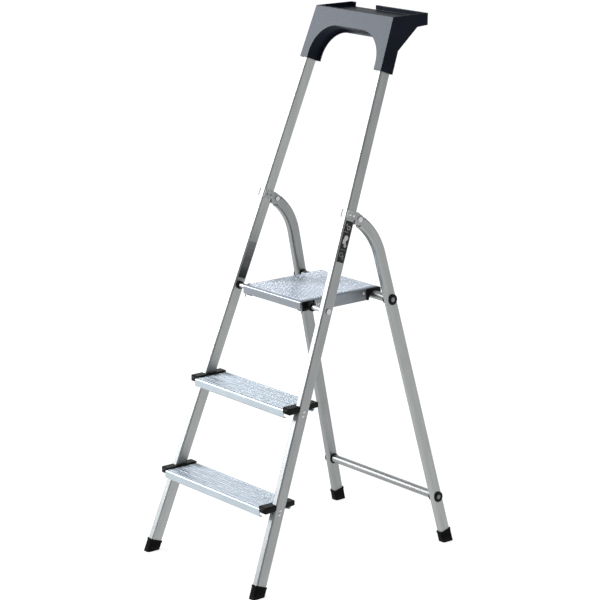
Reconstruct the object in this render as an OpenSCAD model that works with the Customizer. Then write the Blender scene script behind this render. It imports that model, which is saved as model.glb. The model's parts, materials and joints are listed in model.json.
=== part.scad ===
// Folding step stool: two leaning stiles with two treads and a platform,
// a bent rear frame that swings in behind them, and a tool tray on top.
// +X is to the right of someone about to climb, +Y runs back, +Z is up.
// The origin is on the floor, in the middle of the footprint.

/* [Stance] */
// Lean of the front stiles from upright, degrees
lean = 20.6; // [17:0.1:23]
// Lean of the rear legs from upright, degrees
rear_lean = 14.1; // [12:0.1:16]
// Inward taper of stiles and legs, degrees each side
taper = 3.3; // [2.5:0.1:4]
// Half width over the stiles at the floor
front_half = 213.8; // [205:0.1:235]

/* [Stiles and legs] */
// Width of a stile or leg section
stile_w = 18; // [16:0.5:22]
// Depth of the stile section
stile_d = 30; // [28:0.5:34]
// Depth of the rear leg section
leg_d = 28; // [26:0.5:30]
// Wall of the stile and leg tubes
wall = 1.5; // [1:0.1:2.5]
// Top end of the stiles, measured along the stile
stile_top = 1345; // [1330:1:1350]

/* [Treads] */
// Height of the lower tread above the floor
tread_1 = 206; // [190:1:220]
// Height of the upper tread above the floor
tread_2 = 424; // [405:1:435]
// Reach of the tread end caps in front of the stile
nose = 36; // [32:1:40]
// Depth of a tread over its end caps
tread_depth = 98; // [92:1:100]

/* [Platform] */
// Height of the platform above the floor
platform_h = 650; // [640:1:660]
// Depth of the platform
platform_depth = 241; // [235:1:245]
// Half width of the platform
platform_half = 106; // [95:1:110]
// Drop of the side skirts
skirt = 30.5; // [28:0.5:32]
// Drop of the front skirt
front_skirt = 21; // [16:0.5:24]
// Height of the platform pivot above the floor
platform_pivot_h = 635; // [630:1:638]

/* [Rear frame] */
// Place of the leg pivot along the stile
pivot_u = 909; // [900:1:915]
// Gap from the back of the stile to the leg pivot
pivot_gap = 12; // [11:0.5:14]
// Turn of the bend at the top of each leg, degrees
bend = 36; // [32:1:40]
// Radius of that bend on the tube's centreline
bend_r = 150; // [130:1:160]
// Straight stretch from the pivot to the bend
bend_lead = 22; // [20:1:26]
// Diameter of the crossbars
bar_d = 20; // [18:0.5:20]
// Height of the lower crossbar
lower_bar_h = 120; // [100:1:140]
// Height of the upper crossbar
upper_bar_h = 631; // [630:0.5:631.5]

/* [Tool tray] */
// Height of the tray's rim above the floor
tray_h = 1293; // [1288:1:1300]
// Where the tray's legs end, measured along the stile
tray_foot = 1252; // [1245:1:1258]
// Wall of the moulding
tray_wall = 3; // [2.5:0.1:3.4]
// Half width of the hand arch
arch_half = 120; // [112:1:120]
// Top of the hand arch, measured along the stile
arch_top = 1338; // [1332:1:1342]
// Corner radius of the hand arch
arch_r = 75; // [65:1:85]

/* [Hidden] */
$fn = 64;
fit = 0.05;                                  // running clearance on a radius
pin_d = 8;
tilt = tan(taper);

function back(v, u) = v * cos(lean) + u * sin(lean);    // stile frame to Y
function up(v, u) = u * cos(lean) - v * sin(lean);      // stile frame to Z
function half_at(u) = front_half - u * tilt;            // stile outer face

// leg pivot, from the line where the stile fronts meet the floor
pivot_v = stile_d + pivot_gap;
pivot_y = back(pivot_v, pivot_u);
pivot_z = up(pivot_v, pivot_u);
pivot_half = half_at(pivot_u);
// centreline of the straight leg behind the pivot, and where the bend ends
leg_set = bend_lead * sin(bend) + bend_r * (1 - cos(bend));
bend_end = bend_lead * cos(bend) + bend_r * sin(bend);
// distance down the rear frame from the pivot to a height above the floor
function down_to(z) = (pivot_z + leg_set * sin(rear_lean) - z) / cos(rear_lean);
rear_edge = pivot_y + (leg_set + leg_d / 2) * cos(rear_lean) + down_to(0) * sin(rear_lean);
y_shift = -rear_edge / 2;                    // centres the footprint on Y

platform_front = platform_h * tan(lean) - 17;
deck_pivot_y = platform_pivot_h * tan(lean) + stile_d / 2 / cos(lean);
pivot_drop = platform_h - platform_pivot_h;
pivot_back = deck_pivot_y - platform_front;
bar_back = pivot_y + leg_set * cos(rear_lean) + down_to(upper_bar_h) * sin(rear_lean) - platform_front;
bar_drop = platform_h - upper_bar_h;
bush_face = 155.6;                           // inner face of the stile at the platform

cap_over = 9;                                // how far a cap sleeves the tread
cap_nose = nose - 1;
cap_depth = tread_depth - 2;
cap_mid = cap_depth / 2 - cap_nose;
cap_rise = 3;
cap_nose_r = 8;                              // rounding of the cap's nose and tail
cap_tail_r = 5.5;
cap_run = cap_depth - cap_nose_r - cap_tail_r;
cap_drop = 2 * (cap_nose_r - cap_tail_r) / (pow(cap_run, 2) + pow(cap_nose_r - cap_tail_r, 2));
tread_h = 23;
rivet_gap = 10;

tray_side = 4;                               // tray outside the stile's outer face
tray_front = -5;
tray_back = 34;
tray_reach = 110;                            // top of the tray, front to back
tray_deck = tray_h - 11;
tray_y = back(tray_front, (tray_h + tray_front * sin(lean)) / cos(lean));

// ---- frames -------------------------------------------------------------
module floor_frame() translate([0, y_shift, 0]) children();
module front_frame() floor_frame() rotate([-lean, 0, 0]) children();
// right stile: outer face at x = 0, front face at y = 0, z along the stile
module stile_frame() front_frame() translate([front_half, 0, 0]) rotate([0, -taper, 0]) children();
// rear frame: origin on the pivot axis, z along the straight legs
module rear_frame() floor_frame() translate([0, pivot_y, pivot_z]) rotate([rear_lean, 0, 0]) children();
module leg_frame() rear_frame() translate([pivot_half, 0, 0]) rotate([0, -taper, 0]) children();
module tread_frame(z) floor_frame() translate([0, z * tan(lean), z]) children();
module platform_frame() floor_frame() translate([0, platform_front, platform_h]) children();
module left() mirror([1, 0, 0]) children();
module pair() { children(); left() children(); }

// ---- shared shapes ------------------------------------------------------
module rrect(w, d, r) {
  square([w - 2 * r, d], center = true);
  square([w, d - 2 * r], center = true);
  for (x = [-1, 1], y = [-1, 1]) translate([x * (w / 2 - r), y * (d / 2 - r)]) circle(r);
}
module tube_2d(w, d, r) difference() { rrect(w, d, r); rrect(w - 2 * wall, d - 2 * wall, r - wall); }
// a YZ outline carried along X
module along_x(x0, x1) translate([x0, 0, 0]) rotate([90, 0, 90]) linear_extrude(x1 - x0) children();
// an XZ outline carried along Y
module along_y(y0, y1) translate([0, y1, 0]) rotate([90, 0, 0]) linear_extrude(y1 - y0) children();
module rod_x(d, x0, x1) translate([x0, 0, 0]) rotate([0, 90, 0]) cylinder(d = d, h = x1 - x0);
module rod_y(d, y0, y1) translate([0, y0, 0]) rotate([-90, 0, 0]) cylinder(d = d, h = y1 - y0);
// blind rivet lying on X with its head outwards from x = 0
module rivet(shank, length, head, head_h) {
  rod_x(shank, -length, 0.1);
  rotate([0, 90, 0]) cylinder(d1 = head, d2 = head * 0.55, h = head_h);
}

// ---- stiles -------------------------------------------------------------
module tread_rivet_places() {
  for (z = [tread_1, tread_2], s = [-1, 1])
    translate([0, stile_d / 2, (z - 10) / cos(lean) + s * rivet_gap / 2]) children();
}
module bracket_rivet_places() for (v = [9, 21]) translate([0, v, pivot_u + 6]) children();
module tray_screw_places() for (u = [14, 42]) translate([-stile_w / 2, tray_back, tray_foot + u]) children();

module stile() {
  difference() {
    stile_frame() difference() {
      translate([-stile_w / 2, stile_d / 2, 20]) linear_extrude(stile_top - 20) tube_2d(stile_w, stile_d, 4);
      tread_rivet_places() rod_x(4.1, -stile_w - 1, 1);
      bracket_rivet_places() rod_x(4.1, -stile_w - 1, 1);
      tray_screw_places() rod_y(4.1, -12, 0);
    }
    platform_axis() rod_x(pin_d + 2 * fit, 140, 190);
  }
}
module platform_axis() floor_frame() translate([0, deck_pivot_y, platform_pivot_h]) children();
module left_stile() color("silver") left() stile();
module right_stile() color("silver") stile();

module label(side_x, u0, u1) translate([side_x, 3.5, u0]) cube([0.3, stile_d - 7.5, u1 - u0]);
module right_label() color("black") stile_frame() label(0, 802, 900);
module left_label() color("dimgray") left() stile_frame() label(-stile_w - 0.3, 704, 795);

// ---- treads -------------------------------------------------------------
tread_mid = tread_depth / 2 - nose;
function tread_half(z) = half_at(z / cos(lean)) - stile_w - 2;
module tread_outline(g) translate([tread_mid, -1 - (tread_h - 1) / 2]) rrect(tread_depth - 4 + 2 * g, tread_h - 1 + 2 * g, 5);
module tread_2d() {
  difference() {
    tread_outline(0);
    translate([tread_mid, -tread_h / 2 - 0.5]) rrect(tread_depth - 8, tread_h - 5, 3);
    translate([tread_mid - tread_depth / 2 + 10, -tread_h - 1]) square([tread_depth - 20, 4]);
  }
  for (y = [-8, 32]) translate([y, -tread_h + 5]) square([1.8, tread_h - 6.5]);
  // raised treads with finer ribs between them
  for (k = [0:4]) translate([-nose + 7 + k * 19.5, -1.2]) square([6, 1.2]);
  for (k = [0:3], j = [0, 1]) translate([-nose + 16.2 + k * 19.5 + j * 5.6, -1.2]) square([2, 0.7]);
}
module tread(z) tread_frame(z) along_x(-tread_half(z), tread_half(z)) tread_2d();
module lower_tread() color("lightsteelblue") tread(tread_1);
module upper_tread() color("lightsteelblue") tread(tread_2);

// side outline of an end cap: full round nose, falling away to a slimmer tail
module cap_side_2d() {
  front = [cap_nose_r - cap_nose, cap_rise - cap_nose_r];
  rear = [cap_depth - cap_nose - cap_tail_r, cap_rise - cap_tail_r];
  lower = cap_drop * (rear - front) - [0, 1];  // towards the sloping underside
  translate(front) circle(cap_nose_r);
  translate(rear) circle(cap_tail_r);
  polygon([front + [0, cap_nose_r], front + cap_nose_r * lower, rear + cap_tail_r * lower, rear + [0, cap_tail_r]]);
}
// end outline of a cap: its long edges are rounded off, above and below
module cap_end_2d(x0, x1) {
  translate([(x0 + x1) / 2, cap_rise - cap_nose_r]) rrect(x1 - x0, 2 * cap_nose_r + 2, cap_nose_r);
}
// moulded end cap: sleeves the tread and hugs the stile in front and behind
module cap(z) {
  x0 = tread_half(z) - cap_over;
  x1 = half_at(z / cos(lean)) + 1;
  difference() {
    tread_frame(z) difference() {
      intersection() {
        along_x(x0, x1 + 4) cap_side_2d();
        translate([(x0 + x1) / 2, cap_mid, -50]) linear_extrude(100) rrect(x1 - x0, cap_depth, 13);
        along_y(-60, 80) cap_end_2d(x0, x1);
      }
      along_x(x0 - 1, tread_half(z) + 0.2) tread_outline(0.1);
      along_x(x0 - 1, tread_half(z) + 0.2) translate([-nose + 6.8, -2]) square([84.6, 2.3]);
    }
    stile_frame() {
      translate([-stile_w / 2, stile_d / 2, z]) linear_extrude(200, center = true) rrect(stile_w + 0.2, stile_d + 0.2, 4);
      translate([-stile_w / 2, -80, z - 100]) cube([80, 200, 200]) ;
      tread_rivet_places() rod_x(4.1, -stile_w - 8, 0);
    }
  }
  // front and back cheeks carried out to the stile's outer face
  difference() {
    intersection() {
      tread_frame(z) intersection() {
        along_x(x0, x1 + 4) cap_side_2d();
        translate([(x0 + x1) / 2, cap_mid, -50]) linear_extrude(100) rrect(x1 - x0, cap_depth, 13);
        along_y(-60, 80) cap_end_2d(x0, x1);
      }
      stile_frame() translate([-stile_w / 2, -80, z - 100]) cube([stile_w / 2 - 0.3, 200, 250]);
    }
    stile_frame() translate([-stile_w / 2, stile_d / 2, z]) linear_extrude(200, center = true) rrect(stile_w + 0.2, stile_d + 0.2, 4);
  }
}
module lower_left_cap() color("black") left() cap(tread_1);
module lower_right_cap() color("black") cap(tread_1);
module upper_left_cap() color("black") left() cap(tread_2);
module upper_right_cap() color("black") cap(tread_2);
module tread_rivets() color("gainsboro") pair() stile_frame() tread_rivet_places() rivet(4, stile_w + 3, 7, 1.6);

// ---- feet ---------------------------------------------------------------
// rubber cup over the end of a tube, cut level with the floor
module foot_cup(d, rim, seat) difference() {
  union() {
    translate([0, 0, -40]) linear_extrude(rim + 40) rrect(stile_w + 3.6, d + 3.6, 5.5);
    translate([0, 0, rim - 4]) linear_extrude(4) rrect(stile_w + 5.2, d + 5.2, 6.2);
  }
  translate([0, 0, seat]) linear_extrude(60) rrect(stile_w + 0.2, d + 0.2, 4);
}
module above_floor() intersection() { children(); translate([-400, -600, 0]) cube([800, 1200, 200]); }
module front_foot() above_floor() stile_frame() translate([-stile_w / 2, stile_d / 2, 0]) foot_cup(stile_d, 34, 20);
module left_front_foot() color("black") left() front_foot();
module right_front_foot() color("black") front_foot();
module rear_foot() above_floor() leg_frame()
  translate([-stile_w / 2, leg_set, -down_to(0)]) foot_cup(leg_d, 30, 14);
module left_rear_foot() color("black") left() rear_foot();
module right_rear_foot() color("black") rear_foot();

// ---- leg brackets and pins ----------------------------------------------
module bracket_side() {
  polygon([[1, pivot_u - 3], [1, pivot_u + 16], [stile_d + 3, pivot_u + 16], [pivot_v + 4, pivot_u + 12],
           [pivot_v, pivot_u - 12], [stile_d + 1, pivot_u - 13], [stile_d + 1, pivot_u - 3]]);
  translate([pivot_v, pivot_u]) circle(13);
}
module bracket() {
  difference() {
    stile_frame() difference() {
      for (x = [-stile_w - 2.5, 0.1]) along_x(x, x + 2.4) bracket_side();
      bracket_rivet_places() rod_x(4.1, -stile_w - 4, 4);
    }
    leg_axis() rod_x(pin_d + 0.04, 130, 175);
  }
  stile_frame() translate([-stile_w - 2.5, stile_d + 0.1, pivot_u - 12]) cube([stile_w + 5, 1.3, 27.5]);
}
module leg_axis() floor_frame() translate([0, pivot_y, pivot_z]) children();
module left_bracket() color("lightgray") left() bracket();
module right_bracket() color("lightgray") bracket();
module bracket_rivets() color("gainsboro") pair() stile_frame() bracket_rivet_places()
  translate([2.5, 0, 0]) rivet(4, stile_w + 5, 8, 1.4);
module leg_pin() leg_axis() {
  x1 = pivot_half + 3.4;
  rod_x(pin_d, x1 - stile_w - 8, x1);
  rod_x(13, x1, x1 + 1.6);
  rod_x(11, x1 - stile_w - 9.5, x1 - stile_w - 8);
}
module left_leg_pin() color("gray") left() leg_pin();
module right_leg_pin() color("gray") leg_pin();

// ---- rear frame ---------------------------------------------------------
module bend_place() translate([0, leg_set - bend_r, -bend_end]) children();
// leg section; the bend draws in by a hair, so the straight lengths end on it cleanly
module leg_tube_2d(slim = 0) difference() {
  rrect(stile_w - 2 * slim, leg_d - 2 * slim, 5 - slim);
  rrect(stile_w - 2 * wall + 2 * slim, leg_d - 2 * wall + 2 * slim, 5 - wall + slim);
}
module rear_leg() difference() {
  leg_frame() translate([-stile_w / 2, 0, 0]) {
    // straight stretch down to the foot
    translate([0, leg_set, -down_to(0) + 14]) linear_extrude(down_to(0) - 14 - bend_end + 1) leg_tube_2d();
    // bend, swept round an axis parallel to X
    bend_place() rotate([90, 0, 90])
      rotate_extrude(angle = bend, $fn = 128) translate([bend_r, 0]) rotate(90) leg_tube_2d(0.06);
    // short straight end that takes the knuckle
    rotate([bend, 0, 0]) translate([0, 0, -bend_lead - 1]) linear_extrude(bend_lead - 13) leg_tube_2d();
  }
  rear_frame() for (h = [lower_bar_h, upper_bar_h])
    translate([0, leg_set, -down_to(h)]) rod_x(bar_d + 0.1, 120, 240);
}
module left_rear_leg() color("silver") left() rear_leg();
module right_rear_leg() color("silver") rear_leg();

// plug in the top of the leg that turns on the pin
module knuckle() {
  mid = pivot_half - stile_w / 2;
  rear_frame() difference() {
    union() {
      rod_x_at(20, mid, 15.6);
      rotate([bend, 0, 0]) translate([mid, 0, -7.2]) cube([14.4, 17, 12], center = true);
    }
    rod_x(pin_d + 2 * fit, mid - 20, mid + 20);
  }
  leg_frame() translate([-stile_w / 2, 0, 0]) rotate([bend, 0, 0]) translate([0, 0, -bend_lead])
    linear_extrude(bend_lead - 12.5) rrect(stile_w - 2 * wall - 0.2, leg_d - 2 * wall - 0.2, 3.4);
}
module rod_x_at(d, mid, w) rod_x(d, mid - w / 2, mid + w / 2);
module left_knuckle() color("dimgray") left() knuckle();
module right_knuckle() color("dimgray") knuckle();

function bar_half(h) = pivot_half + down_to(h) * tilt - 0.8;
module crossbar(h) rear_frame() translate([0, leg_set, -down_to(h)]) difference() {
  rod_x(bar_d, -bar_half(h), bar_half(h));
  rod_x(bar_d - 2 * wall, -bar_half(h) - 1, bar_half(h) + 1);
}
module upper_crossbar() color("silver") crossbar(upper_bar_h);
module lower_crossbar() color("silver") crossbar(lower_bar_h);
module bar_ends() pair() for (h = [lower_bar_h, upper_bar_h])
  leg_frame() translate([0, leg_set, -down_to(h) / cos(taper)]) children();
module crossbar_rings() color("black") bar_ends() difference() {
  union() { rod_x(26, 0.1, 2.4); rotate([0, 90, 0]) translate([0, 0, 2.4]) cylinder(d1 = 26, d2 = 23, h = 1.2); }
  rod_x(13, -1, 5);
}
// thin black washer round each bar on the leg's inner face
module crossbar_collars() color("black") pair() for (h = [lower_bar_h, upper_bar_h]) difference() {
  leg_frame() translate([-stile_w, leg_set, -down_to(h) / cos(taper)]) rod_x(26, -2.6, -0.1);
  rear_frame() translate([0, leg_set, -down_to(h)]) rod_x(bar_d + 0.4, 100, 240);
}
module crossbar_plugs() color("lightgray") bar_ends() {
  rod_x(12.8, -7, 2);
  rotate([0, 90, 0]) translate([0, 0, 2]) cylinder(d1 = 12.8, d2 = 9, h = 1.2);
}

// ---- platform -----------------------------------------------------------
module box_round(half, depth, drop, r) intersection() {
  along_x(-half, half) translate([depth / 2, -drop]) rrect(depth, 2 * drop, r);
  along_y(0, depth) translate([0, -drop]) rrect(2 * half, 2 * drop, r);
}
module platform_deck() color("lightsteelblue") platform_frame() difference() {
  union() {
    difference() {
      translate([0, 0, -0.8]) box_round(platform_half, platform_depth, 60, 4);
      translate([0, 2, -2.8]) box_round(platform_half - 2, platform_depth - 4, 60, 2.5);
    }
    for (y = [12:8:platform_depth - 8]) along_x(-platform_half + 8, platform_half - 8)
      translate([y, -1.2]) square([3.4, 1.2]);
    for (x = [-34, 34]) translate([x - 1, 2, -14]) cube([2, platform_depth - 34, 12]);
  }
  translate([-200, -1, -140]) cube([400, 400, 140 - skirt]);
  translate([-200, -1, -50]) cube([400, 5, 50 - front_skirt]);
  // back: a shallow lip, and side skirts that stop short of the crossbar
  translate([-200, platform_depth - 5, -50]) cube([400, 10, 50 - 12]);
  for (s = [-1, 1]) {
    translate([s * platform_half - 15, platform_depth - 37, -50]) cube([30, 40, 47]);
    translate([s * platform_half - 5, 6, -50]) cube([10, 38, 47]);
  }
  pair() platform_rivet_spots() rod_x(4.1, -5, 3);
  pair() hook_rivet_spot() rod_x(4.1, -5, 3);
}
// black block that carries a front corner of the platform on its pivot
module hinge_block() platform_frame() difference() {
  union() {
    translate([0, pivot_back, -pivot_drop]) rod_x(21, 90, 120);
    translate([86, 6.2, -pivot_drop - 5.5]) cube([20, pivot_back + 4, 16.8]);
    translate([86, 8, -26]) cube([17.5, 52, 22.8]);
  }
  translate([0, pivot_back, -pivot_drop]) rod_x(pin_d + 2 * fit, 60, 160);
  platform_rivet_spots() rod_x(4.1, -12, 4);
}
module platform_rivet_spots() for (y = [48, 56]) translate([platform_half, y, -14]) children();
module left_hinge_block() color("black") left() hinge_block();
module right_hinge_block() color("black") hinge_block();
// black hook that drops over the upper crossbar; its mouth is cut on the bar's way out
module hook() platform_frame() difference() {
  union() {
    along_x(platform_half - 12, platform_half + 2) translate([bar_back, -17.2]) rrect(44, 28, 4);
    // tongue riveted inside the deck's skirt
    translate([platform_half - 11, bar_back - 40, -22]) cube([8.8, 22, 18.6]);
  }
  along_x(platform_half - 20, platform_half + 5) {
    translate([bar_back, -bar_drop]) circle(bar_d / 2 + 0.4);
    polygon([for (p = [[-10.9, 3], [10.6, 3], [10.6, -40], [-26, -40]]) [bar_back + p[0], -bar_drop + p[1]]]);
  }
  hook_rivet_spot() rod_x(4.1, -14, 4);
}
module hook_rivet_spot() translate([platform_half, bar_back - 30, -12]) children();
module left_hook() color("black") left() hook();
module right_hook() color("black") hook();
module platform_rivets() color("gainsboro") pair() platform_frame() {
  platform_rivet_spots() rivet(4, 10, 7, 1.4);
  hook_rivet_spot() rivet(4, 10, 7, 1.4);
}

// shouldered pin through the stile, and the bush on the stile's inner face
module platform_pin() platform_axis() {
  rod_x(pin_d, 92, 176);
  rod_x(12, 120.4, bush_face - 3.8);
  rod_x(13, 175.2, 177);
}
module left_platform_pin() color("lightgray") left() platform_pin();
module right_platform_pin() color("lightgray") platform_pin();
module platform_bush() platform_axis() difference() {
  rod_x(19, bush_face - 3.8, bush_face);
  rod_x(pin_d + 2 * fit, 100, 170);
}
module left_platform_bush() color("black") left() platform_bush();
module right_platform_bush() color("black") platform_bush();

// ---- tool tray ----------------------------------------------------------
// outline of the moulding seen square on to the stiles, with an even inset
module tray_front_2d(inset, u0) {
  u1 = 1460;
  polygon([for (p = [[-1, u0], [1, u0], [1, u1], [-1, u1]]) [p[0] * (half_at(p[1]) + tray_side - inset), p[1]]]);
}
module arch_2d(g) {
  mid = arch_half - arch_r;
  low = arch_top - arch_r;
  translate([-arch_half - g, 1200]) square([2 * (arch_half + g), low - 1200]);
  translate([-mid, 1200]) square([2 * mid, arch_top + g - 1200]);
  for (s = [-1, 1]) translate([s * mid, low]) circle(arch_r + g);
}
// side outline: legs down the stiles, then the gusset out to the overhang
module tray_side_2d() polygon([
  [back(tray_front, tray_foot), up(tray_front, tray_foot)],
  [back(tray_back, tray_foot), up(tray_back, tray_foot)],
  [back(tray_back, tray_foot + 57), up(tray_back, tray_foot + 57)],
  [tray_y + 75, tray_h - 30], [tray_y + tray_reach - 2, tray_h - 28],
  [tray_y + tray_reach, tray_h], [tray_y, tray_h]]);
module below(z) floor_frame() translate([-300, 0, z - 400]) cube([600, tray_y + tray_reach - tray_wall, 400]);
module tool_tray() color([0.13, 0.14, 0.17]) difference() {
  intersection() {
    front_frame() along_y(tray_front, 260) tray_front_2d(0, 1200);
    floor_frame() along_x(-200, 200) tray_side_2d();
  }
  // hand arch: full size at the front, smaller through the back panel
  front_frame() along_y(tray_front - 5, tray_back - tray_wall) arch_2d(0);
  front_frame() along_y(tray_back - 5, tray_back + 14) arch_2d(-7);
  // pockets that take the stiles
  intersection() {
    front_frame() along_y(tray_front + tray_wall, tray_back - tray_wall)
      difference() { tray_front_2d(tray_side - 0.6, 1200); arch_2d(2); }
    below(tray_deck - tray_wall);
  }
  // open underside of the overhang
  intersection() {
    front_frame() along_y(tray_back, 260) tray_front_2d(tray_wall, 1200);
    below(tray_deck - tray_wall);
  }
  // recessed deck with a rim, and a gap in the back rim
  floor_frame() translate([-half_at(1376), tray_y + 4, tray_deck]) cube([2 * half_at(1376), tray_reach - 8, 20]);
  floor_frame() translate([-120, tray_y + tray_reach - 8, tray_deck]) cube([76, 12, 20]);
  stile_frame() tray_screw_places() rod_y(4.1, -10, 5);
  left() stile_frame() tray_screw_places() rod_y(4.1, -10, 5);
}
module tray_screws() color("gray") pair() stile_frame() tray_screw_places() {
  rod_y(4, -9, 0);
  rotate([-90, 0, 0]) cylinder(d1 = 8, d2 = 5, h = 2);
}

left_stile();
right_stile();
lower_tread();
upper_tread();
lower_left_cap();
lower_right_cap();
upper_left_cap();
upper_right_cap();
tread_rivets();
tool_tray();
tray_screws();
left_front_foot();
right_front_foot();
left_bracket();
right_bracket();
bracket_rivets();
left_leg_pin();
right_leg_pin();
left_platform_bush();
right_platform_bush();
left_platform_pin();
right_platform_pin();
left_label();
right_label();
left_rear_leg();
right_rear_leg();
left_knuckle();
right_knuckle();
upper_crossbar();
lower_crossbar();
crossbar_rings();
crossbar_collars();
crossbar_plugs();
left_rear_foot();
right_rear_foot();
platform_deck();
left_hinge_block();
right_hinge_block();
left_hook();
right_hook();
platform_rivets();
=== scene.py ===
import json
import math

import bmesh
import bpy
from mathutils import Matrix, Vector


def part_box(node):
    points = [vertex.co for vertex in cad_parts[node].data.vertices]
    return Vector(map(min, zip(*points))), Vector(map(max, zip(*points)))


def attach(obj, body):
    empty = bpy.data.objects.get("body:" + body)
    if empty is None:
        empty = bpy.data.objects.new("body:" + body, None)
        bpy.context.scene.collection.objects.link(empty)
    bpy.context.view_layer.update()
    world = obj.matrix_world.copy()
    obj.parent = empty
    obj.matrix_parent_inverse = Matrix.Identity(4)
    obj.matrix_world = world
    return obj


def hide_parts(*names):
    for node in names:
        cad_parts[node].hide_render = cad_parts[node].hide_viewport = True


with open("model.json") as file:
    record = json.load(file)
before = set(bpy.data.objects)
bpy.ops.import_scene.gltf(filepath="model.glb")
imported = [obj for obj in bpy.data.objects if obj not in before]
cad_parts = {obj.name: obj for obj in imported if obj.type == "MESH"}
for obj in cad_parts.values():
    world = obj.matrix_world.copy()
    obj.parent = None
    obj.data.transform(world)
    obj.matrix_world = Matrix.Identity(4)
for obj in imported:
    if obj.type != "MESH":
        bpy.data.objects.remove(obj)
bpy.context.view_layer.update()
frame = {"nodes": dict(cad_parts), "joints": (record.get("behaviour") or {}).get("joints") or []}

# ---- where the ladder's lengths lie --------------------------------------------
LEAN, REAR_LEAN, TAPER = (math.radians(a) for a in (20.6, 14.1, 3.3))
STILE_HALF, STILE_DEEP = 0.2138, 0.030
LOWER_TREAD, UPPER_TREAD = 0.206, 0.424
joints = {j["name"]: Vector(j["pos_m"]) for j in frame["joints"]}
leg_pivot = joints["rear_fold"]
PIVOT_ALONG, PIVOT_BEHIND = 0.909, 0.042
front_line = leg_pivot.y - PIVOT_BEHIND * math.cos(LEAN) - PIVOT_ALONG * math.sin(LEAN)
leg_half = STILE_HALF - PIVOT_ALONG * math.tan(TAPER)
platform_low, platform_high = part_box("platform_deck")


def move(x=0.0, y=0.0, z=0.0):
    return Matrix.Translation((x, y, z))


def turn(angle, axis):
    return Matrix.Rotation(angle, 4, axis)


def stile_place(side):
    """The outer front corner line of a stile, z along it, x to the right."""
    leaning = move(0, front_line) @ turn(-LEAN, "X")
    return leaning @ move(side * STILE_HALF) @ turn(-side * TAPER, "Y")


def leg_place(side):
    """The leg pivot of one side, z along the straight leg, x to the right."""
    leaning = move(*leg_pivot) @ turn(REAR_LEAN, "X")
    return leaning @ move(side * leg_half) @ turn(-side * TAPER, "Y")


platform_place = move(0, platform_low.y, platform_high.z)


# ---- finishes ------------------------------------------------------------------
class Wire:
    """A socket in a finish, with its sums written as plain Python."""

    def __init__(self, finish, socket):
        self.finish, self.socket = finish, socket

    def sum(self, operation, first, second=0.0):
        return self.finish.add("Math", {"operation": operation}, {0: first, 1: second})

    def __add__(self, other):
        return self.sum("ADD", self, other)

    def __sub__(self, other):
        return self.sum("SUBTRACT", self, other)

    def __rsub__(self, other):
        return self.sum("SUBTRACT", other, self)

    def __mul__(self, other):
        return self.sum("MULTIPLY", self, other)

    def __lt__(self, other):
        return self.sum("LESS_THAN", self, other)

    def __gt__(self, other):
        return self.sum("GREATER_THAN", self, other)

    def __abs__(self):
        return self.sum("ABSOLUTE", self)

    __radd__, __rmul__ = __add__, __mul__


class Finish:
    """A material under construction."""

    def __init__(self, name):
        self.material = bpy.data.materials.new(name)
        self.material.use_nodes = True
        self.tree = self.material.node_tree
        self.tree.nodes.clear()
        self.coords = self.add("TexCoord", {}, {}, "Object")

    def add(self, kind, settings, inputs, output=0):
        node = self.tree.nodes.new("ShaderNode" + kind)
        for key, value in settings.items():
            if key == "stops":
                ramp = node.color_ramp.elements
                while len(ramp) < len(value):
                    ramp.new(0.5)
                for stop, (place, tone) in zip(ramp, value):
                    stop.position, stop.color = place, (*tone, 1.0)
            else:
                setattr(node, key, value)
        for key, value in inputs.items():
            if isinstance(value, Wire):
                self.tree.links.new(value.socket, node.inputs[key])
            else:
                node.inputs[key].default_value = value
        return Wire(self, node.outputs[output]) if node.outputs else None

    def placed(self, place):
        """Coordinates in the frame of one length of the ladder."""
        return self.add("Mapping", {"vector_type": "TEXTURE"},
                        {"Vector": self.coords, "Location": place.translation,
                         "Rotation": place.to_euler()})

    def stretched(self, coords, x, y, z):
        return self.add("VectorMath", {"operation": "MULTIPLY"}, {0: coords, 1: (x, y, z)})

    def noise(self, coords, scale, detail=3.0, rough=0.5):
        return self.add("TexNoise", {}, {"Vector": coords, "Scale": scale, "Detail": detail,
                                         "Roughness": rough})

    def split(self, coords):
        return [self.add("SeparateXYZ", {}, {0: coords}, i) for i in range(3)]

    def ranged(self, value, low, high, new_low=0.0, new_high=1.0):
        return self.add("MapRange", {"clamp": True},
                        {0: value, 1: low, 2: high, 3: new_low, 4: new_high})

    def mix(self, share, first, second):
        first, second = ((*tone, 1) if isinstance(tone, tuple) else tone for tone in (first, second))
        return self.add("Mix", {"data_type": "RGBA"}, {0: share, 6: first, 7: second}, 2)

    def worn_edge(self, radius):
        """Normals eased over the sharp edges, and how strongly a spot lies on an edge."""
        eased = self.add("Bevel", {"samples": 6}, {"Radius": radius})
        true = self.add("NewGeometry", {}, {}, "Normal")
        facing = self.add("VectorMath", {"operation": "DOT_PRODUCT"}, {0: eased, 1: true}, 1)
        return eased, self.ranged(facing, 1.0, 0.80)

    def shell(self, colour, roughness, height=None, relief=0.0001, eased=None, matt=None, **fixed):
        inputs = {"Base Color": colour, "Roughness": roughness}
        if height is not None:
            bump = {"Height": height, "Distance": relief}
            if eased is not None:
                bump["Normal"] = eased
            inputs["Normal"] = self.add("Bump", {}, bump)
        elif eased is not None:
            inputs["Normal"] = eased
        inputs.update({key.replace("_", " "): value for key, value in fixed.items()})
        body = self.add("BsdfPrincipled", {}, inputs)
        if matt is not None:
            inputs.update({"Roughness": roughness + 0.30, "Specular IOR Level": 0.09})
            dull = self.add("BsdfPrincipled", {}, inputs)
            body = self.add("MixShader", {}, {0: matt, 1: body, 2: dull})
        self.add("OutputMaterial", {}, {0: body})
        return self.material


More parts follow.
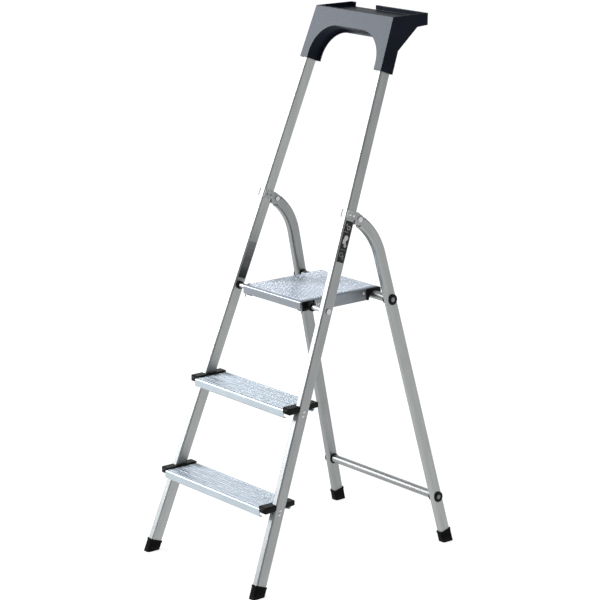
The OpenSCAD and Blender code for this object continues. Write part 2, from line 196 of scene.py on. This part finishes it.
def drawn_tube(name, place, dark=(0.30, 0.315, 0.31), light=(0.44, 0.455, 0.45), edge=0.0006):
    """Satin aluminium tube: long die lines, fine haze, a few rubbed marks."""
    f = Finish(name)
    local = f.placed(place)
    lines = f.noise(f.stretched(local, 620, 620, 2.2), 1.0, 4.0, 0.6)
    hairs = f.noise(f.stretched(local, 3400, 3400, 26), 1.0, 2.0)
    haze = f.noise(f.stretched(local, 60, 60, 14), 1.0, 3.0)
    rubs = f.ranged(f.noise(f.stretched(local, 70, 70, 900), 1.0, 2.0), 0.70, 0.78)
    eased, rim = f.worn_edge(edge)
    tone = lines * 0.55 + haze * 0.35 + hairs * 0.10
    colour = f.mix(f.ranged(tone, 0.32, 0.68), dark, light)
    colour = f.mix(rim * 0.35, colour, (0.72, 0.73, 0.73))
    rough = 0.30 + tone * 0.22 + rubs * 0.10 - rim * 0.05
    height = lines * 0.7 + hairs * 0.3 - rubs * 0.4
    return f.shell(colour, rough, height, 0.00006, eased, Metallic=0.96)


def ribbed_tread(name, top, dark=(0.415, 0.470, 0.510), light=(0.525, 0.585, 0.625),
                 skirt_shade=0.0):
    """Bright extruded tread: fine lines along it, light scuffs where shoes land, polished ridges, painted
    shade in the groove bottoms, and when asked a skirt darkened below the top as painted shade.
    """
    f = Finish(name)
    z = f.split(f.coords)[2]
    lines = f.noise(f.stretched(f.coords, 1.6, 700, 700), 1.0, 4.0, 0.6)
    haze = f.noise(f.coords, 20.0, 4.0)
    scuffs = f.ranged(f.noise(f.stretched(f.coords, 60, 34, 60), 1.0, 5.0, 0.65), 0.56, 0.72)
    valley = f.ranged(z, top - 0.0001, top - 0.0010) * f.ranged(z, top - 0.0030, top - 0.0016)
    eased, rim = f.worn_edge(0.0005)
    tone = lines * 0.6 + haze * 0.4
    colour = f.mix(f.ranged(tone, 0.3, 0.7), dark, light)
    # Painted shade: the groove bottoms between the ridges get a darker tint of the same metal.
    colour = f.mix(valley * 0.55, colour, (0.30, 0.335, 0.40))
    colour = f.mix(scuffs * (z > top - 0.0016) * 0.25, colour, (0.33, 0.345, 0.37))
    # Below the deck top the skirt's colour is darkened towards near black, as strongly as the skirt
    # argument asks: painted shade, for the metal there is the same as on top.
    below = z < top - 0.0034
    colour = f.mix(below * skirt_shade, colour, (0.09, 0.095, 0.10))
    # Edges are lightened; on the skirt less so, under its painted shade.
    colour = f.mix(rim * (1 - below * skirt_shade) * 0.6, colour, (0.80, 0.83, 0.87))
    rough = 0.30 + tone * 0.14 + scuffs * 0.08 + valley * 0.08
    return f.shell(colour, rough, lines, 0.00004, eased, Metallic=0.88)


def moulded(name, colour, worn, rough, grain=900.0, edge=0.0012, relief=0.00006, **fixed):
    """Moulded plastic: fine spark-eroded grain, faint flow tone, edges rubbed a little."""
    f = Finish(name)
    fine = f.noise(f.coords, grain, 3.0, 0.6)
    flow = f.noise(f.stretched(f.coords, 14, 20, 30), 1.0, 3.0)
    marks = f.ranged(f.noise(f.stretched(f.coords, 180, 120, 60), 1.0, 4.0, 0.7), 0.60, 0.74)
    eased, rim = f.worn_edge(edge)
    tone = f.mix(f.ranged(flow, 0.3, 0.7), colour, tuple(min(1.0, c * 1.35) for c in colour))
    tone = f.mix(rim * 0.45 + marks * 0.12, tone, worn)
    return f.shell(tone, rough + fine * 0.12 + marks * 0.08, fine * 0.8 + flow * 0.2, relief, eased,
                   Metallic=0.0, **fixed)


def rubber_foot(name):
    """Matt rubber, dusty near the floor, with fine rings round it."""
    f = Finish(name)
    z = f.split(f.coords)[2]
    fine = f.noise(f.coords, 1300.0, 3.0)
    blotch = f.noise(f.coords, 90.0, 4.0, 0.6)
    dust = f.ranged(z, 0.016, 0.0) * f.ranged(blotch, 0.35, 0.65)
    rings = f.add("Math", {"operation": "SINE"}, {0: z * (2 * math.pi / 0.0030)}) * (z < 0.021)
    eased, rim = f.worn_edge(0.0016)
    colour = f.mix(f.ranged(blotch, 0.3, 0.7), (0.002, 0.002, 0.002), (0.004, 0.004, 0.0044))
    colour = f.mix(dust * 0.22 + rim * 0.15, colour, (0.07, 0.068, 0.063))
    rough = 0.58 + fine * 0.12 + dust * 0.12
    return f.shell(colour, rough, fine * 0.35 + rings * 0.5, 0.00022, eased, Metallic=0.0,
                   Specular_IOR_Level=0.05)


def turned_steel(name, light=(0.62, 0.63, 0.64)):
    """Turned metal, faintly hazed, brighter on its edges."""
    f = Finish(name)
    fine = f.noise(f.coords, 1500.0, 3.0)
    haze = f.noise(f.coords, 240.0, 3.0)
    eased, rim = f.worn_edge(0.0005)
    colour = f.mix(f.ranged(haze, 0.3, 0.7), tuple(c * 0.78 for c in light), light)
    colour = f.mix(rim * 0.5, colour, (0.8, 0.8, 0.8))
    return f.shell(colour, 0.26 + haze * 0.2, fine, 0.00004, eased, Metallic=1.0)


def sticker(name, place, start, end, ground, ink, fade, marks):
    """Printed film on a stile: plain blocks, rings and bars that mean nothing."""
    f = Finish(name)
    across, along = f.split(f.placed(place))[1:]
    along = along - start
    shapes = None
    for kind, u, v, hu, hv, strength in marks:
        if kind == "bar":
            shape = (abs(along - u) < hu) * (abs(across - v) < hv)
        else:
            reach = f.add("VectorMath", {"operation": "LENGTH"},
                          {0: f.add("CombineXYZ", {}, {0: along - u, 1: across - v})}, 1)
            shape = (reach < hu) * (reach > hv)
        shape = shape * strength
        shapes = shape if shapes is None else shapes.sum("MAXIMUM", shapes, shape)
    worn = f.noise(f.coords, 420.0, 4.0, 0.65)
    haze = f.noise(f.coords, 60.0, 3.0)
    colour = f.mix(f.ranged(along, 0.0, end - start), ground, fade)
    colour = f.mix(shapes * f.ranged(worn, 0.30, 0.62, 0.55, 1.0), colour, ink)
    return f.shell(colour, 0.30 + haze * 0.12, worn * 0.5 + shapes * 0.5, 0.00003, None,
                   Metallic=0.0, Specular_IOR_Level=0.25)


def tray_plastic(name):
    """Dark blue-grey moulding: glossy front panel, all else matt with a fine leathery grain."""
    f = Finish(name)
    grain = f.add("TexVoronoi", {"feature": "SMOOTH_F1"}, {"Vector": f.coords, "Scale": 900.0})
    flow = f.noise(f.stretched(f.coords, 5, 9, 9), 1.0, 3.0)
    fine = f.noise(f.coords, 260.0, 4.0, 0.6)
    scratch = f.ranged(f.noise(f.stretched(f.coords, 30, 260, 260), 1.0, 5.0, 0.7), 0.62, 0.72)
    eased, rim = f.worn_edge(0.0016)
    colour = f.mix(f.ranged(flow, 0.3, 0.7), (0.0030, 0.0042, 0.0095), (0.0060, 0.0085, 0.0180))
    colour = f.mix(rim * 0.35 + scratch * 0.10, colour, (0.10, 0.105, 0.12))
    rough = 0.17 + fine * 0.12 + scratch * 0.12
    facing_back = f.split(f.add("NewGeometry", {}, {}, "Normal"))[1]
    return f.shell(colour, rough, grain * 0.6 + fine * 0.4, 0.00004, eased, facing_back > -0.6,
                   Metallic=0.0, Specular_IOR_Level=0.24, Specular_Tint=(0.84, 0.91, 1.0, 1.0))


right_stile, left_stile = stile_place(1), stile_place(-1)
right_leg, left_leg = leg_place(1), leg_place(-1)
across_bars = turn(math.pi / 2, "Y")
black_plastic = moulded("black moulding", (0.004, 0.004, 0.0045), (0.03, 0.03, 0.032), 0.42,
                        Specular_IOR_Level=0.12)
hook_plastic = moulded("black hook moulding", (0.005, 0.005, 0.0055), (0.03, 0.03, 0.032), 0.46,
                       Specular_IOR_Level=0.12)
grey_plastic = moulded("light grey moulding", (0.33, 0.34, 0.34), (0.50, 0.51, 0.51), 0.34,
                       Specular_IOR_Level=0.3)
plug_plastic = moulded("mid grey moulding", (0.20, 0.215, 0.235), (0.36, 0.37, 0.39), 0.38,
                       Specular_IOR_Level=0.25)
dark_plastic = moulded("dark grey moulding", (0.05, 0.05, 0.053), (0.14, 0.14, 0.145), 0.42)
rubber, steel = rubber_foot("foot rubber"), turned_steel("zinc steel")
rivet_metal = turned_steel("rivet aluminium", (0.7, 0.71, 0.71))
tray_skin = tray_plastic("tray moulding")

finishes = {
    # The right stile gets darker tones than the left stile: the same aluminium, darkened as painted shade.
    "right_stile": drawn_tube("right stile metal with painted shade", right_stile,
                              (0.27, 0.28, 0.28), (0.40, 0.41, 0.41)),
    "left_stile": drawn_tube("left stile metal", left_stile),
    "right_rear_leg": drawn_tube("right leg metal", right_leg),
    # The left rear leg gets darker tones than the right leg: the same aluminium, darkened as painted shade
    # for its shaded inner side.
    "left_rear_leg": drawn_tube("left leg metal with painted shade", left_leg,
                                (0.23, 0.24, 0.24), (0.34, 0.35, 0.35)),
    "upper_crossbar": drawn_tube("crossbar metal", across_bars,
                                 (0.22, 0.225, 0.225), (0.35, 0.355, 0.355)),
    "lower_tread": ribbed_tread("lower tread metal", LOWER_TREAD),
    "upper_tread": ribbed_tread("upper tread metal", UPPER_TREAD),
    # The platform's skirt below the deck top is darkened as painted shade.
    "platform_deck": ribbed_tread("platform metal with painted skirt shade", platform_high.z, (0.365, 0.400, 0.445),
                                  (0.465, 0.505, 0.550), skirt_shade=0.52),
    "tool_tray": tray_skin,
    "tray_screws": steel,
    "crossbar_plugs": plug_plastic,
    "right_label": sticker(
        "black sticker", right_stile, 0.802, 0.900, (0.004, 0.004, 0.0045), (0.70, 0.70, 0.68),
        (0.006, 0.006, 0.0065),
        [("ring", 0.082, 0.0165, 0.0052, 0.0030, 0.55), ("bar", 0.088, 0.0090, 0.0028, 0.0016, 0.4),
         ("bar", 0.072, 0.0120, 0.0010, 0.0065, 0.30), ("ring", 0.058, 0.0160, 0.0062, 0.0, 0.95),
         ("bar", 0.049, 0.0130, 0.0052, 0.0050, 0.85), ("ring", 0.040, 0.0175, 0.0040, 0.0014, 0.8),
         ("bar", 0.030, 0.0140, 0.0010, 0.0080, 0.22), ("ring", 0.018, 0.0120, 0.0060, 0.0036, 0.28),
         ("bar", 0.012, 0.0190, 0.0050, 0.0024, 0.22)]),
    "left_label": sticker(
        "grey sticker", left_stile, 0.704, 0.795, (0.022, 0.022, 0.023), (0.30, 0.30, 0.30),
        (0.24, 0.25, 0.25),
        [("bar", 0.074, 0.0150, 0.0012, 0.0090, 0.5), ("bar", 0.066, 0.0140, 0.0012, 0.0080, 0.4),
         ("bar", 0.058, 0.0150, 0.0012, 0.0090, 0.4), ("bar", 0.034, 0.0150, 0.0100, 0.0085, 0.15),
         ("ring", 0.034, 0.0150, 0.0060, 0.0040, 0.4)]),
}
finishes["lower_crossbar"] = finishes["upper_crossbar"]
for node in frame["nodes"]:
    if node.endswith("_foot"):
        finishes[node] = rubber
    elif node.endswith("_bracket"):
        finishes[node] = grey_plastic
    elif node.endswith("_knuckle"):
        finishes[node] = dark_plastic
    elif node.endswith("_pin"):
        finishes[node] = steel
    elif node.endswith("_rivets"):
        finishes[node] = rivet_metal
    elif node.endswith("_hook"):
        finishes[node] = hook_plastic
    elif node not in finishes:
        finishes[node] = black_plastic
for node, piece in frame["nodes"].items():
    piece.data.materials.clear()
    piece.data.materials.append(finishes[node])


# ---- pieces --------------------------------------------------------------------
def finish_piece(name, work, material, body):
    """Makes a bmesh a piece, smooth but for its sharp edges, riding on a body."""
    bmesh.ops.remove_doubles(work, verts=work.verts, dist=1e-6)
    bmesh.ops.recalc_face_normals(work, faces=work.faces)
    mesh = bpy.data.meshes.new(name)
    work.to_mesh(mesh)
    work.free()
    for face in mesh.polygons:
        face.use_smooth = True
    mesh.set_sharp_from_angle(angle=math.radians(38))
    piece = bpy.data.objects.new(name, mesh)
    bpy.context.scene.collection.objects.link(piece)
    mesh.materials.append(material)
    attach(piece, body)
    return piece


def spun(work, outline, place, steps=28):
    """Turns an outline of (radius, height) round the z axis of a place."""
    points = [work.verts.new((radius, 0, height)) for radius, height in outline]
    edges = [work.edges.new(pair) for pair in zip(points, points[1:])]
    bmesh.ops.spin(work, geom=points + edges, cent=(0, 0, 0), axis=(0, 0, 1), angle=2 * math.pi,
                   steps=steps, use_merge=True)
    fresh = [v for v in work.verts if not v.tag]
    bmesh.ops.transform(work, matrix=place, verts=fresh)
    for v in fresh:
        v.tag = True


def outward(side):
    return turn(side * math.pi / 2, "Y")


def domed_rivets(name, places, radius, height, node, body):
    """Blind rivet heads: a low dome with the mandrel's small dimple."""
    sunk = 0.0006
    dome = [(0, -sunk), (radius, -sunk)]
    dome += [(radius * out, height * up) for out, up in
             ((1, 0.16), (0.93, 0.42), (0.74, 0.76), (0.50, 0.94), (0.30, 1), (0.25, 0.80), (0, 0.78))]
    work = bmesh.new()
    for place in places:
        spun(work, dome, place)
    piece = finish_piece(name, work, rivet_metal, body)
    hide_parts(node)


SIDES = (1, -1)
RIVETS_BELOW_TREAD, TREAD_RIVET_STEP = 0.010, 0.005
tread_rivet_places = [
    stile_place(side) @ move(0, STILE_DEEP / 2, middle + step) @ outward(side)
    for side in SIDES
    for middle in ((top - RIVETS_BELOW_TREAD) / math.cos(LEAN) for top in (LOWER_TREAD, UPPER_TREAD))
    for step in (TREAD_RIVET_STEP, -TREAD_RIVET_STEP)]
domed_rivets("tread_rivet_heads", tread_rivet_places, 0.0036, 0.0016, "tread_rivets", "front_frame")

BRACKET_WALL, RIVETS_ABOVE_PIVOT = 0.0025, 0.006
bracket_rivet_places = [
    stile_place(side) @ move(side * BRACKET_WALL, behind, PIVOT_ALONG + RIVETS_ABOVE_PIVOT) @ outward(side)
    for side in SIDES for behind in (0.009, 0.021)]
domed_rivets("bracket_rivet_heads", bracket_rivet_places, 0.0040, 0.0014, "bracket_rivets",
             "front_frame")

PLATFORM_HALF = 0.106
platform_rivet_places = [
    platform_place @ move(side * PLATFORM_HALF, behind, drop) @ outward(side)
    for side in SIDES for behind, drop in ((0.048, -0.014), (0.056, -0.014), (0.19624, -0.012))]
domed_rivets("platform_rivet_heads", platform_rivet_places, 0.0036, 0.0014, "platform_rivets",
             "platform")


# ---- floor, light and camera ---------------------------------------------------
def pale_floor():
    work = bmesh.new()
    bmesh.ops.create_grid(work, x_segments=1, y_segments=1, size=60)
    mesh = bpy.data.meshes.new("floor")
    work.to_mesh(mesh)
    work.free()
    floor = bpy.data.objects.new("floor", mesh)
    bpy.context.scene.collection.objects.link(floor)
    f = Finish("floor white")
    fine = f.noise(f.coords, 3.0, 2.0)
    mesh.materials.append(f.shell((0.36, 0.36, 0.36, 1), 0.85 + fine * 0.05, Metallic=0.0,
                                  Specular_IOR_Level=0.0, Emission_Color=(1, 1, 1, 1),
                                  Emission_Strength=0.80))


def soft_box(name, place, target, width, height, power, tone=(1, 1, 1)):
    light = bpy.data.lights.new(name, "AREA")
    light.shape, light.size, light.size_y = "RECTANGLE", width, height
    light.energy, light.color = power, tone
    lamp = bpy.data.objects.new(name, light)
    lamp.location = place
    lamp.rotation_euler = (Vector(target) - Vector(place)).to_track_quat("-Z", "Y").to_euler()
    lamp.visible_camera = False
    bpy.context.scene.collection.objects.link(lamp)


def dark_board(name, place, width, height):
    """A black board that only shows in reflections, as beside a studio table."""
    work = bmesh.new()
    bmesh.ops.create_grid(work, x_segments=1, y_segments=1, size=0.5)
    facing = (Vector((0, 0, 0.7)) - Vector(place)).to_track_quat("Z", "Y").to_matrix().to_4x4()
    spread = Matrix.Diagonal((width, height, 1, 1))
    bmesh.ops.transform(work, matrix=move(*place) @ facing @ spread, verts=work.verts)
    mesh = bpy.data.meshes.new(name)
    work.to_mesh(mesh)
    work.free()
    board = bpy.data.objects.new(name, mesh)
    bpy.context.scene.collection.objects.link(board)
    f = Finish(name)
    rough = 0.9 + f.noise(f.coords, 5.0) * 0.05
    mesh.materials.append(f.shell((0.01, 0.01, 0.01, 1), rough, Specular_IOR_Level=0.0))
    board.visible_camera = board.visible_shadow = board.visible_diffuse = False


def sky(strength, tone):
    world = bpy.data.worlds.new("studio")
    world.use_nodes = True
    ground = world.node_tree.nodes["Background"]
    ground.inputs["Color"].default_value = (*tone, 1)
    ground.inputs["Strength"].default_value = strength
    bpy.context.scene.world = world


def wide_sun(strength, angle, direction):
    light = bpy.data.lights.new("overhead", "SUN")
    light.energy, light.angle = strength, math.radians(angle)
    lamp = bpy.data.objects.new("overhead", light)
    lamp.rotation_euler = Vector(direction).to_track_quat("-Z", "Y").to_euler()
    bpy.context.scene.collection.objects.link(lamp)


pale_floor()
sky(0.40, (0.97, 0.985, 1.0))
wide_sun(0.85, 70, (0.15, 0.25, -1))
soft_box("key", (-3.3, -2.8, 2.15), (0, 0, 0.7), 2.2, 2.2, 150, (0.94, 0.97, 1.0))
soft_box("back left", (-3.0, 3.0, 2.1), (0, 0, 0.6), 3.6, 2.0, 28)

dark_board("dark board front", (2.6, -2.3, 0.9), 1.5, 2.6)

AZIMUTH, PITCH, DISTANCE = math.radians(50.36), math.radians(14.51), 5.691
camera = bpy.data.objects.new("camera", bpy.data.cameras.new("camera"))
towards = Vector((-math.sin(AZIMUTH) * math.cos(PITCH), math.cos(AZIMUTH) * math.cos(PITCH),
                  -math.sin(PITCH)))
AIM = Vector((0.0246, -0.0184, 0.6265))
camera.location = AIM - towards * DISTANCE
camera.rotation_euler = towards.to_track_quat("-Z", "Y").to_euler()
camera.data.sensor_width, camera.data.lens = 36.0, 144.4
bpy.context.scene.collection.objects.link(camera)
bpy.context.scene.camera = camera
bpy.context.scene.view_settings.view_transform = "Standard"
